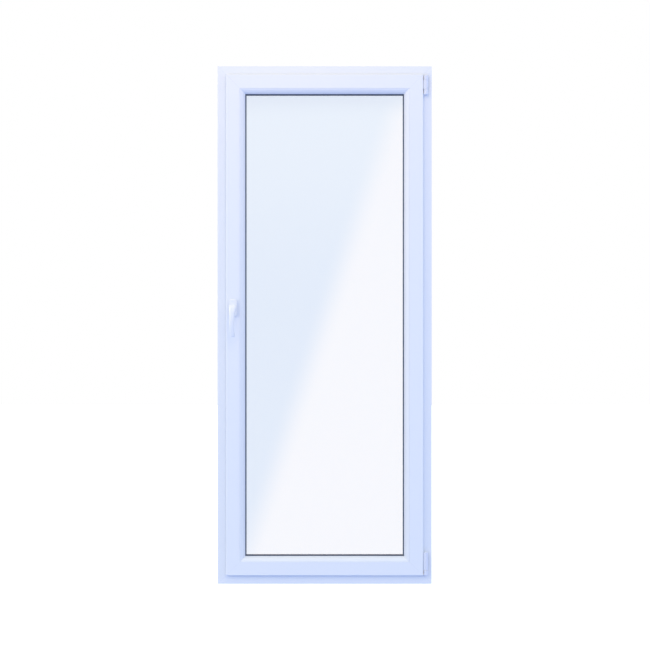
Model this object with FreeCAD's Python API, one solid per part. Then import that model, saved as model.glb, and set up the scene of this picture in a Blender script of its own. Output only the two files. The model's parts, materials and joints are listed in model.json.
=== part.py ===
import math
import os
import FreeCAD
import Part

# Inward-opening tilt-and-turn window of hollow white plastic profiles.
# X runs to the right as seen from the room, Y towards the outside, Z up.
# The origin is the middle of the frame's underside. All lengths are in mm.

FRAME_W = 900.0
FRAME_H = 2175.0
FRAME_FRONT = -35.0
FRAME_BACK = 35.0
REBATE = 42.5
LIP_HEIGHT = 64.0
LIP_FACE = 22.0

SASH_INSET = 36.0
SASH_FRONT = -51.0
SASH_BACK = 19.0
FLANGE_BACK = -38.0
SASH_REBATE = 18.0
BEAD_LINE = 58.0
SIGHT_LINE = 80.0

GLASS_INSET = 63.0
GLASS_FRONT = -23.0
PANE = 4.0
CAVITY = 16.0

GROOVE_MID = -25.0
PLATE_HALF = 7.8
STRIP_HALF = 6.0
PLATE_OUT = 18.0
PLATE_IN = 20.0
STRIP_OUT = 20.2
STRIP_IN = 22.4
CAM_TIP = 11.0
CAM_HEAD_IN = 13.6
CAM_NECK_R = 3.0
CAM_HEAD_R = 5.2
CAM_TRAVEL = 26.7

HINGE_X = 425.3
HINGE_Y = -47.0
KNUCKLE_R = 7.0
COVER_R = 8.6
COVER_WING = 414.6
TILT_Y = -30.0
TILT_Z = 48.5

HANDLE_X = -384.0
HANDLE_Z = 1159.0
PITCH_R = 8.5
TEETH = 17
MODULE = 1.0

LOCK_CAMS = (330.0, 640.0, 960.0, 1560.0, 1840.0)
TOP_CAMS = (-180.0,)
BOTTOM_CAMS = (-200.0, 140.0)
HINGE_CAMS = (560.0, 1230.0)
LOCK_SCREWS = (230.0, 480.0, 800.0, 1340.0, 1700.0, 1990.0)
TOP_SCREWS = (-260.0, -80.0, 120.0, 300.0)
BOTTOM_SCREWS = (-280.0, 0.0, 250.0)
HINGE_SCREWS = (300.0, 900.0, 1400.0)
ANCHORS = (200.0, 787.5, 1387.5, 1975.0)
ANCHOR_R = 3.75
CORNER_LEG = 70.0
SIDES = ("sill", "head", "lock", "hinge")

# Sections are (distance in from the outer edge, depth, optional corner radius).
FRAME_SECTION = (
    (0.0, FRAME_FRONT, 1.0),
    (REBATE, FRAME_FRONT, 2.0),
    (REBATE, LIP_FACE),
    (LIP_HEIGHT, LIP_FACE, 1.0),
    (LIP_HEIGHT, FRAME_BACK, 2.0),
    (0.0, FRAME_BACK, 1.0),
)
FRAME_CHAMBERS = (
    (2.8, 39.7, -32.2, -24.0),
    (4.0, 39.7, -22.4, 14.0),
    (2.8, 40.0, 15.6, 32.2),
    (41.6, 61.4, 24.6, 32.3),
)
SASH_SECTION = (
    (0.0, SASH_FRONT, 3.5),
    (BEAD_LINE, SASH_FRONT, 0.6),
    (BEAD_LINE, -42.0),
    (55.0, -42.0),
    (55.0, -38.4),
    (BEAD_LINE, -38.4),
    (BEAD_LINE, 5.0),
    (SIGHT_LINE, 5.0, 1.0),
    (SIGHT_LINE, SASH_BACK, 2.0),
    (SASH_REBATE, SASH_BACK, 1.0),
    (SASH_REBATE, -17.0),
    (20.1, -17.0),
    (20.1, -18.8),
    (32.0, -18.8),
    (32.0, -31.2),
    (20.1, -31.2),
    (20.1, -33.0),
    (SASH_REBATE, -33.0),
    (SASH_REBATE, FLANGE_BACK),
    (0.0, FLANGE_BACK, 1.0),
)
SASH_CHAMBERS = (
    (3.0, 26.0, -48.2, -41.6),
    (27.5, 52.2, -48.2, -41.6),
    (22.0, 32.0, -40.0, -32.8),
    (33.6, 54.4, -36.6, -15.3),
    (20.8, 54.4, -13.7, 8.0),
    (20.8, 54.4, 9.5, 16.2),
    (56.0, 77.4, 7.6, 16.2),
)
BEAD_SECTION = (
    (58.1, -50.3, 0.4),
    (65.0, -47.3, 8.0),
    (73.0, -40.3, 8.0),
    (SIGHT_LINE, -30.6, 1.0),
    (SIGHT_LINE, -27.2),
    (60.5, -27.2),
    (60.5, -36.0),
    (58.1, -36.0),
    (58.1, -38.6),
    (55.6, -38.8),
    (55.6, -41.7),
    (58.1, -41.9),
)
BEAD_CHAMBERS = (
    (61.5, 66.5, -44.5, -38.0),
    (63.0, 74.0, -36.0, -29.4),
)
# The grip, from its crown to its tip: drop below the axis, sideways shift, half width,
# depth of the front and depth of the back.
LEVER_SECTIONS = (
    (-12.0, -0.6, 9.8, -94.6, -88.6),
    (-10.6, -0.6, 12.6, -97.4, -87.4),
    (-5.5, -0.6, 14.2, -100.4, -86.0),
    (4.0, -0.8, 14.0, -103.4, -87.6),
    (16.0, -2.0, 12.6, -105.6, -90.4),
    (32.0, -3.5, 10.9, -107.2, -93.6),
    (52.0, -4.4, 9.8, -107.0, -95.0),
    (78.0, -4.2, 9.6, -103.6, -92.2),
    (102.0, -2.0, 9.5, -97.6, -86.8),
    (115.0, -1.0, 9.4, -93.4, -83.4),
    (120.4, -0.8, 8.6, -91.0, -83.0),
    (122.0, -0.8, 7.0, -89.4, -84.0),
)
BEAD_GASKET = ((74.0, -27.1), (80.6, -27.1), (84.6, -25.4, 0.8), (84.6, -23.1), (74.0, -23.1))
OUTER_GASKET = ((74.0, 1.1), (84.6, 1.1), (84.6, 2.8, 0.8), (80.8, 4.9), (74.0, 4.9))
SASH_SEAL = ((3.5, -37.9), (9.5, -37.9), (10.0, -35.8, 0.6), (5.0, -35.8, 0.6))
FRAME_SEAL = ((54.5, 21.9), (62.5, 21.9), (62.5, 19.5, 0.8), (57.0, 19.5, 0.8))
SPACER = ((67.5, -18.8), (67.5, -3.2), (74.0, -3.2), (74.0, -18.8))
SEALANT = ((63.6, -18.9), (63.6, -3.1), (67.4, -3.1), (67.4, -18.9))


def vec(x, y, z):
    return FreeCAD.Vector(x, y, z)


def box(x0, x1, y0, y1, z0, z1):
    return Part.makeBox(x1 - x0, y1 - y0, z1 - z0, vec(x0, y0, z0))


def rod(radius, start, end):
    """A round bar between two points."""
    line = end - start
    return Part.makeCylinder(radius, line.Length, start, line)


def cone(r0, r1, start, end):
    """A round bar that changes from one radius to another."""
    line = end - start
    return Part.makeCone(r0, r1, line.Length, start, line)


def join(shapes):
    """Fuse a list of touching shapes into one clean solid."""
    first = shapes[0]
    if len(shapes) == 1:
        return first
    return first.fuse(shapes[1:]).removeSplitter()


def group(shapes):
    return Part.makeCompound(shapes)


def corner_points(before, here, after):
    """Where the rounding of a corner starts, its middle and where it ends."""
    point = vec(here[0], 0, here[1])
    radius = here[2] if len(here) > 2 else 0.0
    if radius == 0.0:
        return point, None, point
    back = (vec(before[0], 0, before[1]) - point).normalize()
    ahead = (vec(after[0], 0, after[1]) - point).normalize()
    half = back.getAngle(ahead) / 2
    reach = radius / math.tan(half)
    centre = point + (back + ahead).normalize() * (radius / math.sin(half))
    middle = centre + (point - centre).normalize() * radius
    return point + back * reach, middle, point + ahead * reach


def outline(points):
    """A closed wire in the XZ plane through corners, rounded where a radius is given."""
    count = len(points)
    corners = [
        corner_points(points[i - 1], points[i], points[(i + 1) % count])
        for i in range(count)
    ]
    edges = []
    for i, (start, middle, end) in enumerate(corners):
        if middle is not None:
            edges.append(Part.Arc(start, middle, end).toShape())
        following = corners[(i + 1) % count][0]
        if (following - end).Length > 1e-6:
            edges.append(Part.LineSegment(end, following).toShape())
    return Part.Wire(edges)


def chamber(limits):
    """A rectangular hollow in a section."""
    u0, u1, y0, y1 = limits
    return outline(((u0, y0), (u1, y0), (u1, y1), (u0, y1)))


def section_face(points, chambers=()):
    wires = [outline(points)] + [chamber(c) for c in chambers]
    return Part.makeFace(wires, "Part::FaceMakerBullseye")


def side_length(side, inset):
    full = FRAME_W if side in ("sill", "head") else FRAME_H
    return full - 2 * inset


def side_place(side, inset):
    """Local X runs inwards, local Y along the side, local Z towards the outside."""
    half = FRAME_W / 2 - inset
    top = FRAME_H - inset
    corner, inward, along = {
        "sill": (vec(-half, 0, inset), vec(0, 0, 1), vec(1, 0, 0)),
        "head": (vec(half, 0, top), vec(0, 0, -1), vec(-1, 0, 0)),
        "lock": (vec(-half, 0, top), vec(1, 0, 0), vec(0, 0, -1)),
        "hinge": (vec(half, 0, inset), vec(-1, 0, 0), vec(0, 0, 1)),
    }[side]
    turn = FreeCAD.Rotation(inward, along, vec(0, 1, 0), "ZXY")
    return FreeCAD.Placement(corner, turn)


def wedge(points):
    """A prism across the depth, used to cut a mitre."""
    wire = Part.makePolygon([vec(u, s, -200) for u, s in points + points[:1]])
    return Part.Face(wire).extrude(vec(0, 0, 400))


def mitred(points, chambers, side, inset):
    """A bar of the given section with both ends cut at 45 degrees."""
    length = side_length(side, inset)
    reach = max(p[0] for p in points) + 1
    face = section_face(points, chambers)
    bar = face.extrude(vec(0, length, 0))
    near = wedge([(-1, -1), (reach, -1), (reach, reach)])
    far = wedge([(-1, length + 1), (reach, length - reach), (reach, length + 1)])
    bar = bar.cut([near, far])
    bar.Placement = side_place(side, inset)
    return bar


def straight(points, side, inset, trim):
    """A bar of the given section with square ends, set back by trim at each end."""
    length = side_length(side, inset) - 2 * trim
    bar = section_face(points).extrude(vec(0, length, 0))
    bar.translate(vec(0, trim, 0))
    bar.Placement = side_place(side, inset).multiply(bar.Placement)
    return bar


def mitred_ring(points, inset):
    return [mitred(points, (), side, inset) for side in SIDES]


def side_box(side, inset, u0, u1, y0, y1, low, high):
    """A box given by distances in from a side and by positions along X or Z."""
    if side == "lock":
        edge = -FRAME_W / 2 + inset
        return box(edge + u0, edge + u1, y0, y1, low, high)
    if side == "hinge":
        edge = FRAME_W / 2 - inset
        return box(edge - u1, edge - u0, y0, y1, low, high)
    if side == "sill":
        return box(low, high, y0, y1, inset + u0, inset + u1)
    edge = FRAME_H - inset
    return box(low, high, y0, y1, edge - u1, edge - u0)


def side_point(side, inset, u, y, along):
    """A point given by its distance in from a side and its position along it."""
    if side == "lock":
        return vec(-FRAME_W / 2 + inset + u, y, along)
    if side == "hinge":
        return vec(FRAME_W / 2 - inset - u, y, along)
    if side == "sill":
        return vec(along, y, inset + u)
    return vec(along, y, FRAME_H - inset - u)


def side_rod(side, inset, radius, u0, u1, y, along):
    start = side_point(side, inset, u0, y, along)
    return rod(radius, start, side_point(side, inset, u1, y, along))


def side_cone(side, inset, r0, r1, u0, u1, y, along):
    start = side_point(side, inset, u0, y, along)
    return cone(r0, r1, start, side_point(side, inset, u1, y, along))


def side_slot(side, inset, half, u0, u1, y, low, high):
    """A round-ended slot cutter running along a side."""
    middle = side_box(side, inset, u0, u1, y - half, y + half, low, high)
    ends = [side_rod(side, inset, half, u0, u1, y, at) for at in (low, high)]
    return join([middle] + ends)


def countersunk(side, inset, u_head, u_tip, y, along, radius=2.0):
    """A countersunk screw driven square into a side."""
    step = 1.0 if u_tip > u_head else -1.0
    waist = u_head + step * radius * 0.9
    head = side_cone(side, inset, radius * 1.9, radius, u_head, waist, y, along)
    shank = side_rod(side, inset, radius, waist, u_tip - step * 2.5, y, along)
    tip = side_cone(side, inset, radius, 0.4, u_tip - step * 2.5, u_tip, y, along)
    return join([head, shank, tip])


# ---- fixed frame ----

def keep_places():
    """Every keep on the frame as (side, position of the cam it takes)."""
    places = [("lock", z) for z in LOCK_CAMS]
    places += [("head", x) for x in TOP_CAMS]
    places += [("sill", x) for x in BOTTOM_CAMS[1:]]
    places += [("hinge", z) for z in HINGE_CAMS]
    return places


def keep_span(side, along):
    """The keep reaches further on the side towards which its cam travels."""
    ahead = 42.0
    behind = 20.0
    if side in ("lock", "head"):
        return along - ahead, along + behind
    return along - behind, along + ahead


def keep_seat(side, at):
    """The countersunk hole of a keep screw."""
    return side_cone(side, 0, 4.1, 2.3, REBATE + 1.71, REBATE - 0.1, -22.0, at)


def keep_screw_spots(side, along):
    low, high = keep_span(side, along)
    return low + 6.0, high - 6.0


def anchor_bores(side, radius):
    return [side_rod(side, 0, radius, -1, REBATE + 1, 0, z) for z in ANCHORS]


def drain_slots():
    """Slots that let water out of the sill's chambers to the outside."""
    outer = [box(x - 14, x + 14, 30, 36, 17, 22) for x in (-250, 0, 250)]
    inner = [box(x - 14, x + 14, 4, 10, 38, 44) for x in (-170, 80, 330)]
    return outer + inner


def frame_member(side):
    bar = mitred(FRAME_SECTION, FRAME_CHAMBERS, side, 0)
    if side in ("lock", "hinge"):
        return bar.cut(anchor_bores(side, ANCHOR_R))
    if side == "sill":
        return bar.cut(drain_slots())
    return bar


def steel_section(u0, u1, y0, y1, wall):
    """An open channel of folded steel."""
    return (
        (u0, y0), (u1, y0), (u1, y1), (u0, y1), (u0, y1 - wall),
        (u1 - wall, y1 - wall), (u1 - wall, y0 + wall), (u0, y0 + wall),
    )


def frame_steel():
    channel = steel_section(6.0, 36.0, -21.6, 13.2, 1.5)
    bars = []
    for side in SIDES:
        bar = straight(channel, side, 0, 52.0)
        if side in ("lock", "hinge"):
            bar = bar.cut(anchor_bores(side, ANCHOR_R + 1.0))
        bars.append(bar)
    return group(bars)


def keep(side, along):
    """A base plate with a low lip on the room side and a ramp at its open end."""
    low, high = keep_span(side, along)
    base = side_box(side, 0, REBATE, REBATE + 1.7, -34.0, -12.0, low, high)
    lip = side_box(side, 0, REBATE + 1.7, REBATE + 3.4, -34.0, -31.4, low + 14, high - 14)
    stop = side_box(side, 0, REBATE + 1.7, REBATE + 2.6, -31.4, -12.0, low, low + 3)
    end = side_box(side, 0, REBATE + 1.7, REBATE + 2.6, -31.4, -12.0, high - 3, high)
    body = join([base, lip, stop, end])
    cuts = []
    for at in keep_screw_spots(side, along):
        cuts.append(keep_seat(side, at))
    return body.cut(cuts)


def tilt_keep():
    """The deeper keep near the lock-side corner that carries the bottom cam in tilt."""
    low, high = keep_span("sill", BOTTOM_CAMS[0])
    base = side_box("sill", 0, REBATE, REBATE + 1.7, -34.0, -8.0, low - 14, high + 6)
    front = side_box("sill", 0, REBATE + 1.7, REBATE + 3.4, -34.0, -31.4, low, high)
    rear = side_box("sill", 0, REBATE + 1.7, REBATE + 3.2, -12.0, -8.0, low, high)
    body = join([base, front, rear])
    cuts = []
    for at in (low - 8, high + 1):
        cuts.append(keep_seat("sill", at))
    return body.cut(cuts)


def keep_screws():
    screws = []
    for side, along in keep_places():
        for at in keep_screw_spots(side, along):
            screws.append(countersunk(side, 0, REBATE + 1.6, REBATE - 22, -22.0, at))
    low, high = keep_span("sill", BOTTOM_CAMS[0])
    for at in (low - 8, high + 1):
        screws.append(countersunk("sill", 0, REBATE + 1.6, REBATE - 22, -22.0, at))
    return group(screws)


def drain_caps():
    """Small hoods over the three outlets on the outside of the sill."""
    caps = []
    for x in (-250, 0, 250):
        body = box(x - 21, x + 21, FRAME_BACK, FRAME_BACK + 5, 12, 27)
        body = body.makeFillet(1.5, [e for e in body.Edges if edge_at_y(e, FRAME_BACK + 5)])
        hollow = box(x - 17, x + 17, FRAME_BACK - 1, FRAME_BACK + 3.4, 11, 24)
        caps.append(body.cut(hollow))
    return group(caps)


def edge_at_y(edge, y):
    return all(abs(v.Y - y) < 1e-6 for v in edge.Vertexes)


# ---- hinges ----

def hinge_point(z):
    return vec(HINGE_X, HINGE_Y, z)


def hinge_rod(radius, z0, z1):
    return rod(radius, hinge_point(z0), hinge_point(z1))


def frame_knuckle(z0, z1):
    """A barrel joined by a short block and a lug to the face of the frame."""
    barrel = hinge_rod(KNUCKLE_R, z0, z1)
    block = box(HINGE_X - 6, HINGE_X + 6, HINGE_Y + 4, -35.0, z0, z1)
    lug = box(405.4, HINGE_X + 6, -36.6, -35.0, z0, z1)
    return [barrel, block, lug]


def moving_knuckle(z0, z1, plate_low, plate_high):
    """A barrel whose plate passes behind the sash edge and folds into the rebate."""
    barrel = hinge_rod(KNUCKLE_R, z0, z1)
    block = box(HINGE_X - 6, HINGE_X, HINGE_Y + 4, -35.5, z0, z1)
    web = box(402.5, HINGE_X, -37.5, -35.5, z0, z1)
    fold = box(402.5, 404.7, -37.5, -17.0, plate_low, plate_high)
    return [barrel, block, web, fold]


def hinge_cover(z0, z1, low_round, high_round):
    """A plastic cap over a barrel, open at the back and closed at a rounded end."""
    skin = hinge_rod(COVER_R, z0, z1)
    wall = COVER_R - KNUCKLE_R - 0.2
    inner_low = z0 + wall if low_round else z0 - 1
    inner_high = z1 - wall if high_round else z1 + 1
    ends = []
    if low_round:
        ends += [e for e in skin.Edges if is_ring_at(e, z0)]
    if high_round:
        ends += [e for e in skin.Edges if is_ring_at(e, z1)]
    if ends:
        skin = skin.makeFillet(3.0, ends)
    skin = skin.cut(hinge_rod(KNUCKLE_R + 0.2, inner_low, inner_high))
    return skin.cut(box(HINGE_X - 12, HINGE_X + 12, HINGE_Y + 3.8, -30, z0 - 1, z1 + 1))


def winged_cover(z0, z1, low_round, high_round):
    """A cap on a moving barrel, with a wing that reaches across to the sash edge."""
    cap = hinge_cover(z0, z1, low_round, high_round)
    wing = box(COVER_WING, HINGE_X, HINGE_Y - 2.8, HINGE_Y + 3.8, z0 + 0.6, z1 - 0.6)
    wing = wing.makeFillet(1.0, [e for e in wing.Edges if edge_at_y(e, HINGE_Y - 2.8) and edge_at_x(e)])
    return join([cap, wing.cut(hinge_rod(COVER_R - 0.6, z0, z1))])


def edge_at_x(edge):
    return all(abs(v.X - COVER_WING) < 1e-6 for v in edge.Vertexes)


def is_ring_at(edge, z):
    return abs(edge.BoundBox.ZMin - z) < 1e-6 and abs(edge.BoundBox.ZMax - z) < 1e-6


def corner_bearing():
    """The lower pivot on the frame, with its upright pin and its foot on the sill."""
    parts = frame_knuckle(37.8, 58.0)
    parts.append(box(405.4, 407.5, -36.6, -12.0, 43.7, 58.0))
    parts.append(box(345.0, 407.5, -34.0, -12.0, 42.5, 43.7))
    parts.append(hinge_rod(4.0, 50.0, 118.0))
    cuts = [rod(2.1, vec(x, -20.0, 40), vec(x, -20.0, 45)) for x in (355.0, 375.0)]
    return join(parts).cut(cuts)


def corner_band():
    """The turning carrier at the bottom: barrel, folded plate and tilt pin."""
    parts = moving_knuckle(58.4, 132.6, 45.2, 132.6)
    parts.append(rod(2.6, vec(384.0, TILT_Y, TILT_Z), vec(403.0, TILT_Y, TILT_Z)))
    return join(parts).cut(hinge_rod(4.05, 58.0, 118.6))


def tilt_bush():
    """The bush under the sash corner that turns on the tilt pin."""
    plate = box(372.0, 395.4, -32.6, -17.4, 54.0, 56.0)
    eye = rod(4.1, vec(386.0, TILT_Y, TILT_Z), vec(400.0, TILT_Y, TILT_Z))
    neck = box(386.0, 395.4, TILT_Y - 2.4, TILT_Y + 4.1, TILT_Z, 54.5)
    body = join([plate, eye, neck])
    return body.cut(rod(2.65, vec(383.0, TILT_Y, TILT_Z), vec(401.0, TILT_Y, TILT_Z)))


def stay_bearing():
    """The upper pivot on the frame: two barrels on one folded plate."""
    upper = frame_knuckle(2116.0, 2134.0)
    lower = frame_knuckle(2057.0, 2077.0)
    plates = [
        box(405.4, 407.5, -36.6, -12.0, 2057.0, 2077.0),
        box(405.4, 407.5, -34.8, -12.0, 2077.0, 2116.0),
        box(405.4, 407.5, -36.6, -12.0, 2116.0, 2131.0),
    ]
    body = join(upper + lower + plates)
    holes = [rod(2.1, vec(404, -22.0, z), vec(409, -22.0, z)) for z in (2066.0, 2098.0)]
    return body.cut(holes + [hinge_rod(3.5, 2050, 2140)])


def stay_pin():
    """The pin on which the stay turns, with a small head at its lower end."""
    return join([hinge_rod(3.5, 2056.0, 2134.0), hinge_rod(5.0, 2055.7, 2057.0)])


def stay_arm():
    """The long arm in the gap above the sash, folded round to its barrel."""
    parts = moving_knuckle(2077.4, 2115.6, 2077.4, 2128.0)
    parts.append(box(24.5, 404.7, -33.0, -17.0, 2125.5, 2128.0))
    parts.append(rod(8.0, vec(24.5, -25.0, 2125.5), vec(24.5, -25.0, 2128.0)))
    body = join(parts)
    slots = [arm_slot(x) for x in (110.0, 230.0)]
    return body.cut([hinge_rod(3.55, 2070, 2120)] + slots)


def arm_slot(x):
    """A lightening slot in the stay arm."""
    ends = [rod(3.0, vec(at, -25, 2120), vec(at, -25, 2130)) for at in (x, x + 50)]
    return join([box(x, x + 50, -28, -22, 2120, 2130)] + ends)


def stay_slide_pin():
    """The riveted pin that slides in the slot of the top faceplate."""
    shank = rod(2.75, vec(24.5, -25.0, 2113.0), vec(24.5, -25.0, 2125.5))
    head = rod(4.5, vec(24.5, -25.0, 2128.0), vec(24.5, -25.0, 2129.2))
    return group([shank, head])


def bearing_screws():
    """Screws of both frame-side hinge fittings."""
    screws = []
    for x in (355.0, 375.0):
        screws.append(countersunk("sill", 0, 43.7 + 1.4, 18.0, -20.0, x, 2.0))
    for z in (2066.0, 2098.0):
        screws.append(countersunk("hinge", 0, REBATE + 2.4, 18.0, -22.0, z, 2.0))
    return group(screws)


# ---- sash ----

def groove_pocket():
    """The milled pocket for the gearbox and the holes for handle and screws."""
    edge = -FRAME_W / 2 + SASH_INSET
    pocket = box(edge + 17, edge + 47.0, -32.0, -18.0, HANDLE_Z - 58, HANDLE_Z + 58)
    bores = [rod(9.0, vec(HANDLE_X, -52, HANDLE_Z), vec(HANDLE_X, -31, HANDLE_Z))]
    for dz in (-21.5, 21.5):
        at = HANDLE_Z + dz
        bores.append(rod(3.0, vec(HANDLE_X, -52, at), vec(HANDLE_X, -31, at)))
    return [pocket] + bores


def sash_member(side):
    bar = mitred(SASH_SECTION, SASH_CHAMBERS, side, SASH_INSET)
    if side == "lock":
        return bar.cut(groove_pocket())
    return bar


def sash_steel():
    channel = steel_section(22.0, 52.0, -12.9, 7.2, 1.5)
    return group([straight(channel, side, SASH_INSET, 66.0) for side in SIDES])


def sash_seal():
    """The inner rebate seal, notched away around the hinge plates."""
    low = box(398.0, 420.0, -40, -30, 30, 142)
    high = box(398.0, 420.0, -40, -30, 2046, 2145)
    return group([s.cut([low, high]) for s in mitred_ring(SASH_SEAL, SASH_INSET)])


def pane(y0, y1):
    edge = SASH_INSET + GLASS_INSET
    half = FRAME_W / 2 - edge
    return box(-half, half, y0, y1, edge, FRAME_H - edge)


def setting_blocks():
    """Blocks that carry and centre the glass in its rebate."""
    low = SASH_INSET + BEAD_LINE
    spots = [("sill", -230.0), ("sill", 230.0), ("head", -230.0), ("head", 230.0)]
    spots += [("lock", low + 150), ("lock", 2000.0), ("hinge", 200.0), ("hinge", 1900.0)]
    return group([
        side_box(side, SASH_INSET, 58.1, 62.9, -22.0, 0.5, at - 50, at + 50)
        for side, at in spots
    ])


# ---- locking hardware ----

def plate_box(side, low, high):
    return side_box(
        side, SASH_INSET, PLATE_OUT, PLATE_IN,
        GROOVE_MID - PLATE_HALF, GROOVE_MID + PLATE_HALF, low, high,
    )


def cam_slot(side, along):
    """The slot in a faceplate through which a cam travels."""
    start, end = cam_sweep(side, along)
    return side_slot(
        side, SASH_INSET, CAM_NECK_R + 0.45, PLATE_OUT - 1, PLATE_IN + 1,
        GROOVE_MID, start - 0.3, end + 0.3,
    )


def cam_sweep(side, along):
    if side in ("lock", "head"):
        return along - CAM_TRAVEL, along
    return along, along + CAM_TRAVEL


def screw_seat(side, at):
    """The countersunk hole of a faceplate screw."""
    return side_cone(side, SASH_INSET, 3.9, 2.1, PLATE_OUT - 0.1, PLATE_IN + 0.1, GROOVE_MID, at)


def faceplate(side, low, high, cams, screws):
    plate = plate_box(side, low, high)
    slots = [cam_slot(side, at) for at in cams]
    return plate.cut(slots + [screw_seat(side, at) for at in screws])


def top_faceplate():
    """The top faceplate with the long slot for the stay's slide pin."""
    plate = faceplate("head", -326.0, 392.0, TOP_CAMS, TOP_SCREWS)
    slot = side_slot("head", SASH_INSET, 4.0, 17, 21, GROOVE_MID, 22.0, 46.0)
    return plate.cut(slot)


def faceplates():
    return group([
        faceplate("lock", 124.0, 2051.0, LOCK_CAMS, LOCK_SCREWS),
        top_faceplate(),
        faceplate("sill", -326.0, 326.0, BOTTOM_CAMS, BOTTOM_SCREWS),
        faceplate("hinge", 124.0, 1600.0, HINGE_CAMS, HINGE_SCREWS),
    ])


def faceplate_screws():
    """Countersunk screws in the middle of the faceplates."""
    screws = []
    for side, spots in (
        ("lock", LOCK_SCREWS), ("head", TOP_SCREWS), ("sill", BOTTOM_SCREWS), ("hinge", HINGE_SCREWS),
    ):
        screws += [faceplate_screw(side, at) for at in spots]
    return group(screws)


def faceplate_screw(side, at):
    body = countersunk(side, SASH_INSET, PLATE_OUT + 0.15, 44.0, GROOVE_MID, at, 1.9)
    recess = side_rod(side, SASH_INSET, 1.3, PLATE_OUT - 0.5, PLATE_OUT + 1.1, GROOVE_MID, at)
    return body.cut(recess)


def strip(side, low, high, screws):
    """One sliding drive strip, slotted where the faceplate screws pass through it."""
    bar = side_box(
        side, SASH_INSET, STRIP_OUT, STRIP_IN,
        GROOVE_MID - STRIP_HALF, GROOVE_MID + STRIP_HALF, low, high,
    )
    return bar.cut([strip_slot(side, at) for at in screws if low < at < high])


def strip_slot(side, at):
    """The strip moves past the screw, so its slot reaches back along its travel."""
    low, high = at - CAM_TRAVEL, at
    if side in ("lock", "head"):
        low, high = at, at + CAM_TRAVEL
    return side_slot(
        side, SASH_INSET, 2.6, STRIP_OUT - 0.5, STRIP_IN + 0.5, GROOVE_MID, low - 0.4, high + 0.4,
    )


def cam(side, along):
    """A mushroom-headed locking cam riveted to a drive strip."""
    neck = side_rod(side, SASH_INSET, CAM_NECK_R, CAM_HEAD_IN, STRIP_OUT, GROOVE_MID, along)
    head = side_rod(side, SASH_INSET, CAM_HEAD_R, CAM_TIP, CAM_HEAD_IN, GROOVE_MID, along)
    rings = [e for e in head.Edges if e.Length > 20]
    outer = min(rings, key=lambda e: edge_depth(side, e))
    head = head.makeChamfer(0.7, [outer])
    return join([neck, head])


def edge_depth(side, edge):
    """How far an edge lies in from the outer edge of the window on this side."""
    middle = edge.BoundBox.Center
    return {
        "lock": middle.x,
        "hinge": -middle.x,
        "sill": middle.z,
        "head": -middle.z,
    }[side]


def rack_gap(index):
    """One opening of the rack, wider towards the pinion."""
    pitch = math.pi * MODULE
    middle = HANDLE_Z + index * pitch
    edge = -FRAME_W / 2 + SASH_INSET
    line = HANDLE_X - PITCH_R
    slope = math.tan(math.radians(20))
    half = pitch / 4 + 0.13
    near = edge + STRIP_IN + 0.1
    far = edge + STRIP_OUT - 0.1
    wide = half + (near - line) * slope
    thin = half + (far - line) * slope
    corners = [(near, -wide), (near, wide), (far, thin), (far, -thin)]
    points = [vec(x, GROOVE_MID - 4.0, middle + dz) for x, dz in corners]
    face = Part.Face(Part.makePolygon(points + points[:1]))
    return face.extrude(vec(0, 8.0, 0))


def lock_strip():
    """The drive strip of the lock side with its punched rack."""
    gaps = [rack_gap(i) for i in range(-4, 13)]
    return strip("lock", 155.0, 2045.0, LOCK_SCREWS).cut(gaps)


def flank():
    """The upper flank of a pinion tooth from root to tip, centred on local X."""
    pressure = math.radians(20)
    base_r = PITCH_R * math.cos(pressure)
    tip_r = PITCH_R + 0.85
    root_r = PITCH_R - 1.2
    thickness = math.pi * MODULE / 2 - 0.16
    start = thickness / (2 * PITCH_R) + math.tan(pressure) - pressure
    c = math.cos(start)
    s = math.sin(start)
    points = [(root_r * c, root_r * s)]
    for step in range(6):
        x, y = involute_point(base_r, base_r + (tip_r - base_r) * step / 5)
        points.append((x * c + y * s, x * s - y * c))
    return points


def involute_point(base_r, radius):
    """A point at the given radius on an involute that starts on local X."""
    roll = math.sqrt(max((radius / base_r) ** 2 - 1, 0.0))
    angle = roll - math.atan(roll)
    return radius * math.cos(angle), radius * math.sin(angle)


def pinion_outline():
    """The whole gear's corners, with one tooth pointing straight at the rack's gap."""
    upper = flank()
    tooth = [(x, -y) for x, y in upper] + upper[::-1]
    corners = []
    for index in range(TEETH):
        turn = math.pi + 2 * math.pi * index / TEETH
        c = math.cos(turn)
        s = math.sin(turn)
        corners += [(x * c - y * s, x * s + y * c) for x, y in tooth]
    return corners


def handle_point(y):
    return vec(HANDLE_X, y, HANDLE_Z)


def square_bar(half, y0, y1):
    return box(
        HANDLE_X - half, HANDLE_X + half, y0, y1, HANDLE_Z - half, HANDLE_Z + half
    )


def drive_pinion():
    points = [vec(HANDLE_X + x, -28.5, HANDLE_Z + z) for x, z in pinion_outline()]
    gear = Part.Face(Part.makePolygon(points + points[:1])).extrude(vec(0, 7.0, 0))
    hub = rod(6.0, handle_point(-31.3), handle_point(-18.7))
    return join([gear, hub]).cut(square_bar(3.55, -40, -10))


def gearbox_case():
    """The case round the pinion, open towards the drive strip."""
    edge = -FRAME_W / 2 + SASH_INSET
    body = box(edge + 22.9, edge + 45.0, -31.5, -18.5, HANDLE_Z - 55, HANDLE_Z + 55)
    hollow = rod(10.1, handle_point(-29.1), handle_point(-20.9))
    bore = rod(6.05, handle_point(-35), handle_point(-15))
    holes = [bore, hollow]
    for dz in (-21.5, 21.5):
        at = HANDLE_Z + dz
        holes.append(rod(2.5, vec(HANDLE_X, -32, at), vec(HANDLE_X, -18, at)))
    return body.cut(holes)


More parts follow.
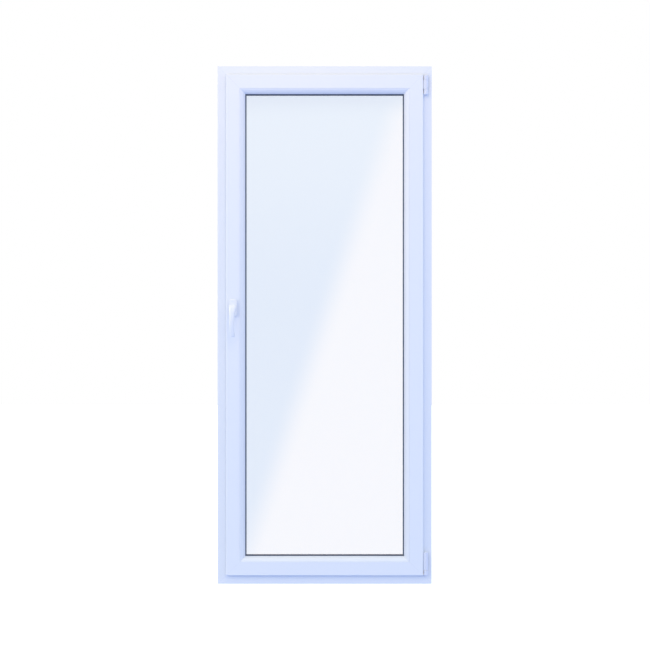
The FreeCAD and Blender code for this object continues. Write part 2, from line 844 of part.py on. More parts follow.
def corner_drive(side_a, side_b, notch):
    """An angle that leads the drive strips round one corner of the sash."""
    parts = []
    for side in (side_a, side_b):
        low, high = leg_span(side, side_b if side == side_a else side_a)
        parts.append(plate_box(side, low, high))
        parts.append(side_box(side, SASH_INSET, PLATE_IN, 27.0, -30.9, -19.1, low, high))
    body = join(parts)
    if notch:
        body = body.cut(box(371.0, 400.0, -34.0, -16.0, 50.0, 56.2))
    return body


def leg_span(side, other):
    """Where a corner drive's leg starts and ends along its side."""
    edge = SASH_INSET + SASH_REBATE
    if side in ("sill", "head"):
        corner = FRAME_W / 2 - edge
        if other == "lock":
            return -corner, -corner + CORNER_LEG
        return corner - CORNER_LEG, corner
    if other == "sill":
        return edge, edge + CORNER_LEG
    return FRAME_H - edge - CORNER_LEG, FRAME_H - edge


def corner_drives():
    return group([
        corner_drive("lock", "head", False),
        corner_drive("lock", "sill", False),
        corner_drive("hinge", "sill", True),
    ])


# ---- handle ----

def rosette_outline(half_w, half_h):
    return outline((
        (HANDLE_X - half_w, HANDLE_Z - half_h, half_w - 4),
        (HANDLE_X + half_w, HANDLE_Z - half_h, half_w - 4),
        (HANDLE_X + half_w, HANDLE_Z + half_h, half_w - 4),
        (HANDLE_X - half_w, HANDLE_Z + half_h, half_w - 4),
    ))


def plate_from(wire, y0, y1):
    """A flat plate between two depths from a wire drawn at depth zero."""
    body = Part.Face(wire).extrude(vec(0, y1 - y0, 0))
    body.translate(vec(0, y0, 0))
    return body


def handle_base():
    """The fixed base screwed through the sash into the gearbox."""
    body = plate_from(rosette_outline(15.5, 34.5), -55.4, SASH_FRONT)
    cuts = [rod(10.3, handle_point(-60), handle_point(-50))]
    for dz in (-21.5, 21.5):
        at = HANDLE_Z + dz
        cuts.append(cone(5.1, 2.8, vec(HANDLE_X, -55.5, at), vec(HANDLE_X, -52.6, at)))
        cuts.append(rod(2.8, vec(HANDLE_X, -56, at), vec(HANDLE_X, -50, at)))
    return body.cut(cuts)


def handle_cover():
    """The cover plate that swings aside to uncover the two screws."""
    body = plate_from(rosette_outline(17.0, 36.0), -60.6, -55.7)
    body = body.makeFillet(2.2, [e for e in body.Edges if edge_at_y(e, -60.6)])
    return body.cut(rod(10.35, handle_point(-70), handle_point(-50)))


def handle_screws():
    screws = []
    for dz in (-21.5, 21.5):
        at = HANDLE_Z + dz
        head = cone(4.7, 2.5, vec(HANDLE_X, -55.3, at), vec(HANDLE_X, -52.7, at))
        shank = rod(2.5, vec(HANDLE_X, -52.7, at), vec(HANDLE_X, -20.0, at))
        drive = rod(1.4, vec(HANDLE_X, -55.4, at), vec(HANDLE_X, -53.9, at))
        screws.append(join([head, shank]).cut(drive))
    return group(screws)


def detent_plate():
    """The notched ring in the base that gives the handle its quarter-turn stops."""
    ring = rod(9.9, handle_point(-52.6), handle_point(-51.0))
    cuts = [rod(6.2, handle_point(-54), handle_point(-50))]
    for quarter in range(4):
        angle = math.radians(45 + 90 * quarter)
        x = HANDLE_X + 9.9 * math.cos(angle)
        z = HANDLE_Z + 9.9 * math.sin(angle)
        cuts.append(rod(1.2, vec(x, -54, z), vec(x, -50, z)))
    return ring.cut(cuts)


def lever_section(drop, shift, half_width, front, back):
    """A level, rounded cross-section of the grip at a drop below the handle's axis."""
    x = HANDLE_X + shift
    corner = (back - front) * 0.4
    wire = outline((
        (x - half_width, front, corner),
        (x + half_width, front, corner),
        (x + half_width, back, corner),
        (x - half_width, back, corner),
    ))
    wire.rotate(vec(0, 0, 0), vec(1, 0, 0), -90)
    wire.translate(vec(0, 0, HANDLE_Z - drop))
    return wire


def handle_lever():
    """The cranked lever: a collar, a neck and an arched grip that narrows to its tip."""
    grip = Part.makeLoft([lever_section(*row) for row in LEVER_SECTIONS], True, False)
    neck = cone(11.2, 10.4, handle_point(-90.5), handle_point(-62.0))
    collar = rod(10.0, handle_point(-62.5), handle_point(-53.0))
    body = join([grip, neck, collar])
    return body.cut(square_bar(3.55, -88, -50))


def handle_spindle():
    return square_bar(3.5, -86.0, -19.5)


# ---- output ----

def frame_nodes():
    return {
        "frame_sill": frame_member("sill"),
        "frame_head": frame_member("head"),
        "frame_jamb_lock": frame_member("lock"),
        "frame_jamb_hinge": frame_member("hinge"),
        "frame_reinforcement": frame_steel(),
        "frame_seal": group(mitred_ring(FRAME_SEAL, 0.0)),
        "lock_keeps": group([keep(side, at) for side, at in keep_places()]),
        "tilt_keep": tilt_keep(),
        "keep_screws": keep_screws(),
        "drain_caps": drain_caps(),
        "corner_bearing": corner_bearing(),
        "corner_bearing_cover": hinge_cover(36.2, 57.6, True, False),
        "stay_bearing": stay_bearing(),
        "stay_bearing_cover": group([
            hinge_cover(2116.4, 2136.0, False, True),
            hinge_cover(2054.0, 2076.6, True, False),
        ]),
        "stay_pin": stay_pin(),
        "bearing_screws": bearing_screws(),
    }


def hinge_nodes():
    return {
        "corner_band": corner_band(),
        "corner_band_cover": winged_cover(58.8, 134.0, False, True),
        "stay_arm": stay_arm(),
        "stay_arm_cover": winged_cover(2077.4, 2115.6, False, False),
        "stay_slide_pin": stay_slide_pin(),
    }


def sash_nodes():
    beads = {
        "bead_" + name: mitred(BEAD_SECTION, BEAD_CHAMBERS, side, SASH_INSET)
        for name, side in (
            ("bottom", "sill"), ("top", "head"), ("lock_side", "lock"), ("hinge_side", "hinge"),
        )
    }
    nodes = {
        "sash_bottom_rail": sash_member("sill"),
        "sash_top_rail": sash_member("head"),
        "sash_lock_stile": sash_member("lock"),
        "sash_hinge_stile": sash_member("hinge"),
        "sash_reinforcement": sash_steel(),
        "sash_seal": sash_seal(),
        "bead_gasket": group(mitred_ring(BEAD_GASKET, SASH_INSET)),
        "outer_gasket": group(mitred_ring(OUTER_GASKET, SASH_INSET)),
        "inner_pane": pane(GLASS_FRONT, GLASS_FRONT + PANE),
        "outer_pane": pane(GLASS_FRONT + PANE + CAVITY, GLASS_FRONT + 2 * PANE + CAVITY),
        "spacer_bar": group(mitred_ring(SPACER, SASH_INSET)),
        "edge_sealant": group(mitred_ring(SEALANT, SASH_INSET)),
        "setting_blocks": setting_blocks(),
    }
    nodes.update(beads)
    return nodes


def hardware_nodes():
    return {
        "faceplates": faceplates(),
        "faceplate_screws": faceplate_screws(),
        "corner_drives": corner_drives(),
        "tilt_bush": tilt_bush(),
        "gearbox_case": gearbox_case(),
        "drive_pinion": drive_pinion(),
        "drive_strip_lock": lock_strip(),
        "drive_strip_top": strip("head", -297.0, -20.0, TOP_SCREWS),
        "drive_strip_bottom": strip("sill", -320.0, 295.0, BOTTOM_SCREWS),
        "drive_strip_hinge": strip("hinge", 126.0, 1540.0, HINGE_SCREWS),
        "cams_lock": group([cam("lock", z) for z in LOCK_CAMS]),
        "cams_top": group([cam("head", x) for x in TOP_CAMS]),
        "cams_bottom": group([cam("sill", x) for x in BOTTOM_CAMS]),
        "cams_hinge": group([cam("hinge", z) for z in HINGE_CAMS]),
    }


def handle_nodes():
    return {
        "handle_base": handle_base(),
        "handle_cover": handle_cover(),
        "handle_screws": handle_screws(),
        "detent_plate": detent_plate(),
        "handle_lever": handle_lever(),
        "handle_spindle": handle_spindle(),
    }


def main():
    os.makedirs("parts", exist_ok=True)
    nodes = {}
    for make in (frame_nodes, hinge_nodes, sash_nodes, hardware_nodes, handle_nodes):
        nodes.update(make())
    for name, shape in nodes.items():
        shape.exportStep("parts/" + name + ".step")


main()
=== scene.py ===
import json
import math

import bmesh
import bpy
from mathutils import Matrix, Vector


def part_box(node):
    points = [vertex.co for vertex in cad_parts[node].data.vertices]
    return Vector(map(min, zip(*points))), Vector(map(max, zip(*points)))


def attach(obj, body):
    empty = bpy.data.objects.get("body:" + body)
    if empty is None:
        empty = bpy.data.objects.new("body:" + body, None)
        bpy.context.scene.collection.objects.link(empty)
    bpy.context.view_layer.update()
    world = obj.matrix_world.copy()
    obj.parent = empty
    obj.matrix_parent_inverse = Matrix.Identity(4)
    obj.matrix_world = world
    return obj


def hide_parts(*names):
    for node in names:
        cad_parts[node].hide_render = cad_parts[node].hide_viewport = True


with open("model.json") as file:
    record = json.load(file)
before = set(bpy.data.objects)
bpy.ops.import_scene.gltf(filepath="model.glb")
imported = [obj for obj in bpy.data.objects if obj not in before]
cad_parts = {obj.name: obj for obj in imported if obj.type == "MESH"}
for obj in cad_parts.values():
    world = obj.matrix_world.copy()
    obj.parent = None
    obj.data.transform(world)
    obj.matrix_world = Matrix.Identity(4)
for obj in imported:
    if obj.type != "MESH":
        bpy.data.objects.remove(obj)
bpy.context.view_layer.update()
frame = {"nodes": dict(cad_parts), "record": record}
NODES = frame["nodes"]
MM = 0.001

# ---------------------------------------------------------------- where things are
FRAME_LOW, FRAME_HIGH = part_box("frame_jamb_lock")
MIDDLE_Z = (FRAME_LOW[2] + FRAME_HIGH[2]) / 2
FACE_Y = FRAME_LOW[1]
FRAME_WIDTH = -2 * FRAME_LOW[0]
FRAME_HEIGHT = FRAME_HIGH[2]
SPINDLE_LOW, SPINDLE_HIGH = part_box("handle_spindle")
HANDLE_X = (SPINDLE_LOW[0] + SPINDLE_HIGH[0]) / 2
HANDLE_Z = (SPINDLE_LOW[2] + SPINDLE_HIGH[2]) / 2

# ---------------------------------------------------------------- view and light
SENSOR_WIDTH = 36.0
CAMERA_DISTANCE = 9.0
CAMERA_X = 0.0015
# The share of the picture's width that the frame fills.
FRAME_WIDTH_SHARE = 0.3295

WHITE = (1.0, 1.0, 1.0)
BLACK = (0.0, 0.0, 0.0)
# The soft fill at eye level, and how much it gains towards +X and upwards.
FILL = (0.955, 0.962, 0.930)
FILL_LEAN = -0.045
FILL_RISE = 0.15

# Two cards behind the viewer, which the glass reflects. Places on them are slopes: metres
# sideways or upwards for each metre away from the window. The cards end on a soft circle,
# given by the cosine of the angle from straight ahead.
CARD_BRIGHT = (1.53, 1.20, 0.95)
CARD_BLUE_LOW = (0.28, 0.46, 0.76)
CARD_BLUE_HIGH = (0.67, 0.76, 0.85)
CARD_TOP = (0.15, 0.25, 0.5)
CARD_NORMAL = (0.949, -0.3135)
CARD_LINE_Z = 1.114
CARD_LINE_SOFTNESS = 0.0075
CARD_BLUE_SPAN = (0.0, 0.095)
CARD_TOP_EDGE = (0.096, 0.110)
CARD_CIRCLE = (0.955, 0.975)
# The least forward part of a direction that a slope is worked out for.
LEAST_AHEAD = 0.05

# The floor: half its side, how far below the sill it lies, and how it shines.
FLOOR_HALF = 20.0
FLOOR_DROP = 0.001
FLOOR_COLOUR = (0.80, 0.82, 0.86)
FLOOR_LIFT = 0.60
FLOOR_BOUNCE = (0.490, 0.620, 1.0)

scene = bpy.context.scene
scene.view_settings.view_transform = "Standard"
scene.view_settings.look = "None"
scene.view_settings.exposure = 0.0
scene.view_settings.gamma = 1.0


def make_camera():
    data = bpy.data.cameras.new("camera")
    data.sensor_width = SENSOR_WIDTH
    data.lens = SENSOR_WIDTH * FRAME_WIDTH_SHARE * CAMERA_DISTANCE / FRAME_WIDTH
    data.clip_end = 100.0
    camera = bpy.data.objects.new("camera", data)
    scene.collection.objects.link(camera)
    camera.location = (CAMERA_X, FACE_Y - CAMERA_DISTANCE, MIDDLE_Z)
    camera.rotation_euler = (math.radians(90), 0, 0)
    scene.camera = camera


def area_light(name, place, target, size, power, colour):
    """A soft rectangular lamp, which isn't seen itself, straight or through glass."""
    data = bpy.data.lights.new(name, "AREA")
    data.shape = "RECTANGLE"
    data.size, data.size_y = size
    data.energy = power
    data.color = colour
    light = bpy.data.objects.new(name, data)
    scene.collection.objects.link(light)
    light.location = place
    aim = Vector(target) - Vector(place)
    light.rotation_euler = aim.to_track_quat("-Z", "Y").to_euler()
    light.visible_camera = False
    light.visible_transmission = False


class Graph:
    """A short way to add and join shader nodes."""

    def __init__(self, tree):
        self.tree = tree
        self.tree.nodes.clear()

    def add(self, kind, **settings):
        node = self.tree.nodes.new(kind)
        for key, value in settings.items():
            setattr(node, key, value)
        return node

    def put(self, source, target):
        self.tree.links.new(source, target)

    def feed(self, socket, value):
        """Join an output to a socket, or set the socket to a number or a colour."""
        if hasattr(value, "is_output"):
            self.put(value, socket)
        elif isinstance(value, tuple):
            socket.default_value = (*value, 1.0)
        else:
            socket.default_value = value

    def math(self, operation, a, b=0.0):
        node = self.add("ShaderNodeMath", operation=operation)
        self.feed(node.inputs[0], a)
        self.feed(node.inputs[1], b)
        return node.outputs[0]

    def mix(self, factor, a, b):
        node = self.add("ShaderNodeMix", data_type="RGBA")
        self.feed(node.inputs[0], factor)
        self.feed(node.inputs[6], a)
        self.feed(node.inputs[7], b)
        return node.outputs[2]

    def ramp(self, value, low, high, shape="SMOOTHSTEP"):
        """Nought up to low and one from high on."""
        node = self.add("ShaderNodeMapRange", interpolation_type=shape)
        self.put(value, node.inputs["Value"])
        node.inputs["From Min"].default_value = low
        node.inputs["From Max"].default_value = high
        return node.outputs["Result"]

    def noise(self, coords, scale, detail=2.0):
        node = self.add("ShaderNodeTexNoise")
        node.inputs["Scale"].default_value = scale
        node.inputs["Detail"].default_value = detail
        self.put(coords, node.inputs["Vector"])
        return node.outputs["Fac"]

    def emission(self, colour, strength=1.0):
        node = self.add("ShaderNodeEmission")
        self.feed(node.inputs["Color"], colour)
        node.inputs["Strength"].default_value = strength
        return node.outputs[0]


def seen_directly(g):
    """One for what is seen, straight or through glass, and nought for light that falls on things."""
    path = g.add("ShaderNodeLightPath")
    seen = g.math("MAXIMUM", path.outputs["Is Camera Ray"], path.outputs["Is Transmission Ray"])
    turned = g.math("ADD", path.outputs["Glossy Depth"], path.outputs["Diffuse Depth"])
    return g.math("MULTIPLY", seen, g.math("LESS_THAN", turned, 0.5))


def diagonal_card(g, x, y, z):
    """Two soft cards behind the viewer, bright and blue, that meet on a slanting line."""
    ahead = g.math("MAXIMUM", g.math("MULTIPLY", y, -1.0), LEAST_AHEAD)
    across = g.math("DIVIDE", x, ahead)
    upward = g.math("DIVIDE", z, ahead)
    offset = CARD_NORMAL[1] * (CARD_LINE_Z - MIDDLE_Z) / CAMERA_DISTANCE
    side_x = g.math("MULTIPLY", across, CARD_NORMAL[0])
    side_z = g.math("MULTIPLY", upward, CARD_NORMAL[1])
    side = g.math("SUBTRACT", g.math("ADD", side_x, side_z), offset)
    split = g.ramp(side, -CARD_LINE_SOFTNESS, CARD_LINE_SOFTNESS)
    blue = g.mix(g.ramp(upward, *CARD_BLUE_SPAN), CARD_BLUE_LOW, CARD_BLUE_HIGH)
    card = g.mix(split, blue, CARD_BRIGHT)
    return g.mix(g.ramp(upward, *CARD_TOP_EDGE), card, CARD_TOP)


def make_world():
    """White to the eye, cool soft fill to the object, and two cards where the glass looks."""
    world = bpy.data.worlds.new("studio")
    scene.world = world
    world.use_nodes = True
    g = Graph(world.node_tree)
    direction = g.add("ShaderNodeTexCoord").outputs["Generated"]
    split = g.add("ShaderNodeSeparateXYZ")
    g.put(direction, split.inputs[0])
    x, y, z = split.outputs
    lean = g.math("ADD", g.math("MULTIPLY", x, FILL_LEAN), g.math("MULTIPLY", z, FILL_RISE))
    level = g.ramp(lean, -1.0, 1.0, shape="LINEAR")
    fill = g.mix(level, BLACK, tuple(2.0 * part for part in FILL))
    near = g.ramp(g.math("MULTIPLY", y, -1.0), *CARD_CIRCLE)
    fill = g.mix(near, fill, diagonal_card(g, x, y, z))
    colour = g.mix(seen_directly(g), fill, WHITE)
    background = g.add("ShaderNodeBackground")
    g.put(colour, background.inputs["Color"])
    output = g.add("ShaderNodeOutputWorld")
    g.put(background.outputs[0], output.inputs["Surface"])


def floor_material():
    """White to the eye, cool bounced light to the object, and clear to mirror images."""
    material = bpy.data.materials.new("studio_floor")
    material.use_nodes = True
    g = Graph(material.node_tree)
    path = g.add("ShaderNodeLightPath")
    diffuse = g.add("ShaderNodeBsdfDiffuse")
    g.feed(diffuse.inputs["Color"], FLOOR_COLOUR)
    lit = g.add("ShaderNodeAddShader")
    g.put(diffuse.outputs[0], lit.inputs[0])
    g.put(g.emission(WHITE, FLOOR_LIFT), lit.inputs[1])
    clear = g.add("ShaderNodeBsdfTransparent")
    mirrored = g.math("GREATER_THAN", path.outputs["Glossy Depth"], 0.5)
    straight = g.math("LESS_THAN", path.outputs["Diffuse Depth"], 0.5)
    mirrored = g.math("MULTIPLY", mirrored, straight)
    surface = g.emission(FLOOR_BOUNCE)
    for share, shader in (
        (mirrored, clear.outputs[0]),
        (seen_directly(g), g.emission(WHITE)),
        (path.outputs["Is Camera Ray"], lit.outputs[0]),
    ):
        blend = g.add("ShaderNodeMixShader")
        g.put(share, blend.inputs[0])
        g.put(surface, blend.inputs[1])
        g.put(shader, blend.inputs[2])
        surface = blend.outputs[0]
    output = g.add("ShaderNodeOutputMaterial")
    g.put(surface, output.inputs["Surface"])
    return material


def make_floor():
    """A plain white floor that runs into the background."""
    mesh = bpy.data.meshes.new("studio_floor")
    corners = ((-1, -1), (1, -1), (1, 1), (-1, 1))
    points = [(FLOOR_HALF * x, FLOOR_HALF * y, -FLOOR_DROP) for x, y in corners]
    mesh.from_pydata(points, [], [(0, 1, 2, 3)])
    mesh.materials.append(floor_material())
    floor = bpy.data.objects.new("studio_floor", mesh)
    scene.collection.objects.link(floor)


make_camera()
make_world()
make_floor()
area_light(
    "left", place=(-3.5, -1.6, 1.6), target=(0.0, 0.0, 1.1), size=(1.6, 2.4),
    power=39.0, colour=(1.0, 0.84, 0.60),
)
area_light(
    "right", place=(3.5, -1.6, 1.6), target=(0.0, 0.0, 1.1), size=(0.8, 2.4),
    power=23.0, colour=(0.52, 0.62, 1.0),
)
area_light(
    "crown", place=(-0.1, -1.4, 2.7), target=(0.0, -0.03, 1.9), size=(1.0, 0.6),
    power=4.6, colour=(1.0, 0.60, 0.20),
)


# ---------------------------------------------------------------- materials
# How far from the mitre the hairline starts to fade, and where it is gone.
MITRE_LINE = (0.1 * MM, 0.5 * MM)


def principled(name, **values):
    """A material with one shader, whose constants are set on the shader's own sockets."""
    material = bpy.data.materials.new(name)
    material.use_nodes = True
    g = Graph(material.node_tree)
    shader = g.add("ShaderNodeBsdfPrincipled")
    output = g.add("ShaderNodeOutputMaterial")
    g.put(shader.outputs[0], output.inputs["Surface"])
    for key, value in values.items():
        g.feed(shader.inputs[key.replace("_", " ")], value)
    coords = g.add("ShaderNodeTexCoord").outputs["Object"]
    return material, g, shader, coords


def tint(g, shader, value, low, high):
    g.put(g.mix(value, low, high), shader.inputs["Base Color"])


def vary_roughness(g, shader, value, low, high):
    node = g.add("ShaderNodeMapRange")
    g.put(value, node.inputs["Value"])
    node.inputs["To Min"].default_value = low
    node.inputs["To Max"].default_value = high
    g.put(node.outputs["Result"], shader.inputs["Roughness"])


def add_bump(g, shader, height, strength, distance):
    bump = g.add("ShaderNodeBump")
    bump.inputs["Strength"].default_value = strength
    bump.inputs["Distance"].default_value = distance
    g.put(height, bump.inputs["Height"])
    g.put(bump.outputs[0], shader.inputs["Normal"])


def beside_mitre(g, coords):
    """Nought on the hairline where two mitred members meet, and one everywhere else."""
    split = g.add("ShaderNodeSeparateXYZ")
    g.put(coords, split.inputs[0])
    x, y, z = split.outputs
    from_end = g.math("MINIMUM", z, g.math("SUBTRACT", FRAME_HEIGHT, z))
    across = g.math("ADD", g.math("ABSOLUTE", x), from_end)
    off_line = g.math("ABSOLUTE", g.math("SUBTRACT", across, FRAME_WIDTH / 2))
    return g.ramp(off_line, *MITRE_LINE)


def plastic_material(name, colours, roughness, grain, seam=None):
    """White plastic: a faint mottle, a satin sheen, a fine grain and, with a seam, a line at each mitre."""
    material, g, shader, coords = principled(name, Specular_IOR_Level=0.45, IOR=1.47)
    colour = g.mix(g.noise(coords, scale=7.0, detail=3.0), *colours)
    if seam:
        colour = g.mix(beside_mitre(g, coords), seam, colour)
    g.put(colour, shader.inputs["Base Color"])
    vary_roughness(g, shader, g.noise(coords, scale=90.0), *roughness)
    add_bump(g, shader, g.noise(coords, scale=1400.0), strength=grain, distance=0.02 * MM)
    return material


def rubber_material(name, colours):
    """Matt moulded rubber or block plastic."""
    material, g, shader, coords = principled(name, Specular_IOR_Level=0.35)
    tint(g, shader, g.noise(coords, scale=160.0, detail=3.0), *colours)
    vary_roughness(g, shader, g.noise(coords, scale=420.0), low=0.62, high=0.82)
    grain = g.noise(coords, scale=900.0, detail=3.0)
    add_bump(g, shader, grain, strength=0.25, distance=0.08 * MM)
    return material


def metal_material(name, colours, roughness, grain_scale):
    """Plated steel with a cloudy tone and a grain in both gloss and relief."""
    material, g, shader, coords = principled(name, Metallic=1.0)
    tint(g, shader, g.noise(coords, scale=55.0, detail=4.0), *colours)
    grain = g.noise(coords, scale=grain_scale, detail=3.0)
    vary_roughness(g, shader, grain, *roughness)
    add_bump(g, shader, grain, strength=0.12, distance=0.04 * MM)
    return material


def spacer_material():
    """Mill aluminium with rows of pinholes."""
    material, g, shader, coords = principled("spacer_aluminium", Metallic=1.0)
    voronoi = g.add("ShaderNodeTexVoronoi")
    voronoi.inputs["Scale"].default_value = 260.0
    voronoi.inputs["Randomness"].default_value = 0.0
    g.put(coords, voronoi.inputs["Vector"])
    beside_hole = g.ramp(voronoi.outputs["Distance"], 0.10, 0.16)
    tint(g, shader, beside_hole, low=(0.10, 0.10, 0.11), high=(0.74, 0.75, 0.77))
    vary_roughness(g, shader, g.noise(coords, scale=300.0), low=0.32, high=0.45)
    add_bump(g, shader, beside_hole, strength=0.35, distance=0.3 * MM)
    return material


def glass_material():
    """Clear float glass with a breath of blue and a trace of waviness."""
    material, g, shader, coords = principled(
        "clear_glass", Roughness=0.0, IOR=1.5, Transmission_Weight=1.0,
    )
    cloud = g.noise(coords, scale=0.9, detail=1.0)
    tint(g, shader, cloud, low=(0.925, 0.953, 1.0), high=(0.930, 0.958, 1.0))
    waves = g.noise(coords, scale=1.6, detail=1.0)
    add_bump(g, shader, waves, strength=0.02, distance=0.4 * MM)
    return material


def paint_material():
    """Smooth white powder coat with a light orange-peel."""
    material, g, shader, coords = principled(
        "handle_paint", Specular_IOR_Level=0.5, Coat_Weight=0.35, Coat_Roughness=0.12,
    )
    cloud = g.noise(coords, scale=30.0, detail=3.0)
    tint(g, shader, cloud, low=(0.76, 0.82, 0.92), high=(0.78, 0.84, 0.93))
    vary_roughness(g, shader, g.noise(coords, scale=260.0), low=0.26, high=0.36)
    add_bump(g, shader, g.noise(coords, scale=700.0), strength=0.06, distance=0.06 * MM)
    return material


MATERIALS = {
    "white_pvc": plastic_material(
        "white_pvc", colours=((0.745, 0.81, 0.92), (0.765, 0.83, 0.93)),
        roughness=(0.30, 0.40), grain=0.05, seam=(0.58, 0.65, 0.80),
    ),
    "white_cover": plastic_material(
        "white_cover", colours=((0.645, 0.715, 0.88), (0.665, 0.735, 0.89)),
        roughness=(0.24, 0.34), grain=0.03,
    ),
    "handle_paint": paint_material(),
    "zinc_steel": metal_material(
        "zinc_steel", colours=((0.56, 0.58, 0.61), (0.70, 0.71, 0.73)),
        roughness=(0.22, 0.40), grain_scale=240.0,
    ),
    "galvanised_steel": metal_material(
        "galvanised_steel", colours=((0.44, 0.46, 0.48), (0.62, 0.64, 0.66)),
        roughness=(0.38, 0.60), grain_scale=60.0,
    ),
    "black_rubber": rubber_material(
        "black_rubber", colours=((0.065, 0.092, 0.155), (0.090, 0.125, 0.195)),
    ),
    "clear_glass": glass_material(),
    "spacer_aluminium": spacer_material(),
    "block_plastic": rubber_material(
        "block_plastic", colours=((0.06, 0.13, 0.09), (0.09, 0.17, 0.12)),
    ),
}


def paint_cad_nodes():
    for entry in frame["record"]["subparts"]:
        node = NODES[entry["node"]]
        node.data.materials.clear()
        node.data.materials.append(MATERIALS[entry["material_slot"]])


# ---------------------------------------------------------------- the handle's lever
# The grip, from its crown to its tip, in millimetres: drop below the axis, sideways shift,
# half width, depth of the front and depth of the back.
LEVER_SECTIONS = (
    (-12.0, -0.6, 9.8, -94.6, -88.6),
    (-10.6, -0.6, 12.6, -97.4, -87.4),
    (-5.5, -0.6, 14.2, -100.4, -86.0),
    (4.0, -0.8, 14.0, -103.4, -87.6),
    (16.0, -2.0, 12.6, -105.6, -90.4),
    (32.0, -3.5, 10.9, -107.2, -93.6),
    (52.0, -4.4, 9.8, -107.0, -95.0),
    (78.0, -4.2, 9.6, -103.6, -92.2),
    (102.0, -2.0, 9.5, -97.6, -86.8),
    (115.0, -1.0, 9.4, -93.4, -83.4),
    (120.4, -0.8, 8.6, -91.0, -83.0),
    (122.0, -0.8, 7.0, -89.4, -84.0),
)
# How square a section is: 2 is an ellipse, and more fills its corners.
LEVER_SQUARENESS = 2.9
LEVER_STEPS = 134
RING_POINTS = 48
# The neck and the collar, in millimetres: depth and radius.
NECK_PROFILE = ((-90.5, 11.1), (-76.0, 10.8), (-62.0, 10.3), (-61.0, 9.9), (-53.1, 9.9))
MELT_CELL = 0.7 * MM
RELAX_PASSES = 12
RELAX_SHARE = 0.5


def lever_row(drop):
    """Shift, half width, front and back at a drop, on smooth curves through the sections."""
    rows = LEVER_SECTIONS
    index = next(i for i in range(len(rows) - 1) if drop <= rows[i + 1][0])
    low, high = rows[index], rows[index + 1]
    before, after = rows[max(index - 1, 0)], rows[min(index + 2, len(rows) - 1)]
    span = high[0] - low[0]
    t = (drop - low[0]) / span
    values = []
    for part in range(1, 5):
        leave = (high[part] - before[part]) / (high[0] - before[0]) * span
        reach = (after[part] - low[part]) / (after[0] - low[0]) * span
        values.append(
            low[part] * (2 * t ** 3 - 3 * t ** 2 + 1) + leave * (t ** 3 - 2 * t ** 2 + t)
            + high[part] * (3 * t ** 2 - 2 * t ** 3) + reach * (t ** 3 - t ** 2)
        )
    return values


def bulge(value):
    """A sine or cosine, drawn out so that the ring it makes has full corners."""
    return math.copysign(abs(value) ** (2 / LEVER_SQUARENESS), value)


def ring_angles():
    return [2 * math.pi * step / RING_POINTS for step in range(RING_POINTS)]


def lever_ring(drop):
    shift, half_width, front, back = lever_row(drop)
    middle, half_depth = (front + back) / 2, (back - front) / 2
    return [(
        HANDLE_X + MM * (shift + half_width * bulge(math.cos(angle))),
        MM * (middle + half_depth * bulge(math.sin(angle))),
        HANDLE_Z - MM * drop,
    ) for angle in ring_angles()]


def neck_ring(depth, radius):
    return [(
        HANDLE_X + MM * radius * math.cos(angle),
        MM * depth,
        HANDLE_Z + MM * radius * math.sin(angle),
    ) for angle in ring_angles()]


def skin(mesh, rings):
    """Close a row of rings into a solid skin."""
    rows = [[mesh.verts.new(point) for point in ring] for ring in rings]
    for one, two in zip(rows, rows[1:]):
        for i in range(len(one)):
            j = (i + 1) % len(one)
            mesh.faces.new((one[i], one[j], two[j], two[i]))
    mesh.faces.new(rows[0])
    mesh.faces.new(rows[-1][::-1])


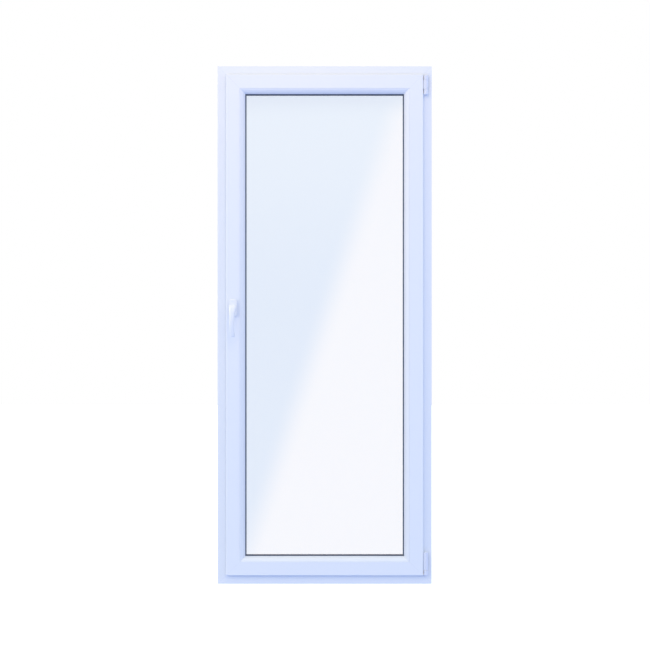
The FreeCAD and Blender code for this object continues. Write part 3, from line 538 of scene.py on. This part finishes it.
def rough_lever():
    """The grip, and the neck with its collar, as two closed skins in one mesh."""
    first, last = LEVER_SECTIONS[0][0], LEVER_SECTIONS[-1][0]
    drops = [first + (last - first) * step / LEVER_STEPS for step in range(LEVER_STEPS + 1)]
    shape = bmesh.new()
    skin(shape, [lever_ring(drop) for drop in drops])
    skin(shape, [neck_ring(depth, radius) for depth, radius in NECK_PROFILE])
    bmesh.ops.recalc_face_normals(shape, faces=shape.faces[:])
    mesh = bpy.data.meshes.new("handle_lever_smooth")
    shape.to_mesh(mesh)
    shape.free()
    return mesh


def smooth_lever():
    """The grip, neck and collar melted into one cast shape."""
    lever = bpy.data.objects.new("handle_lever_smooth", rough_lever())
    scene.collection.objects.link(lever)
    melt = lever.modifiers.new("melt", "REMESH")
    melt.mode = "VOXEL"
    melt.voxel_size = MELT_CELL
    melt.use_smooth_shade = True
    relax = lever.modifiers.new("relax", "SMOOTH")
    relax.factor = RELAX_SHARE
    relax.iterations = RELAX_PASSES
    seen = lever.evaluated_get(bpy.context.evaluated_depsgraph_get())
    lever.data = bpy.data.meshes.new_from_object(seen)
    lever.modifiers.clear()
    lever.data.materials.clear()
    lever.data.materials.append(MATERIALS["handle_paint"])
    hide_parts("handle_lever")
    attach(lever, "handle")


# ---------------------------------------------------------------- finish of the CAD nodes
# The frame's and the sash's members, by the start of their names.
PROFILES = (
    "frame_sill", "frame_head", "frame_jamb", "sash_bottom", "sash_top", "sash_lock", "sash_hinge",
)
PROFILE_ROUNDING = 0.35 * MM
BEADS = ("bead_bottom", "bead_top", "bead_lock_side", "bead_hinge_side")
BEAD_ROUNDING = 0.30 * MM
ROUNDING_SEGMENTS = 2
HARD_EDGE = math.radians(30)
WELD_GAP = 0.01 * MM


def soften(node, rounding):
    """Give every hard edge of a CAD node a small rounding, and keep its flat faces flat."""
    weld = node.modifiers.new("weld", "WELD")
    weld.merge_threshold = WELD_GAP
    bevel = node.modifiers.new("bevel", "BEVEL")
    bevel.width = rounding
    bevel.segments = ROUNDING_SEGMENTS
    bevel.limit_method = "ANGLE"
    bevel.angle_limit = HARD_EDGE
    bevel.use_clamp_overlap = True
    normals = node.modifiers.new("normals", "WEIGHTED_NORMAL")
    normals.mode = "FACE_AREA"
    normals.weight = 100
    normals.keep_sharp = False


def soften_cad_nodes():
    for name, node in NODES.items():
        if name.startswith(PROFILES):
            soften(node, PROFILE_ROUNDING)
        elif name in BEADS:
            soften(node, BEAD_ROUNDING)


paint_cad_nodes()
soften_cad_nodes()
smooth_lever()
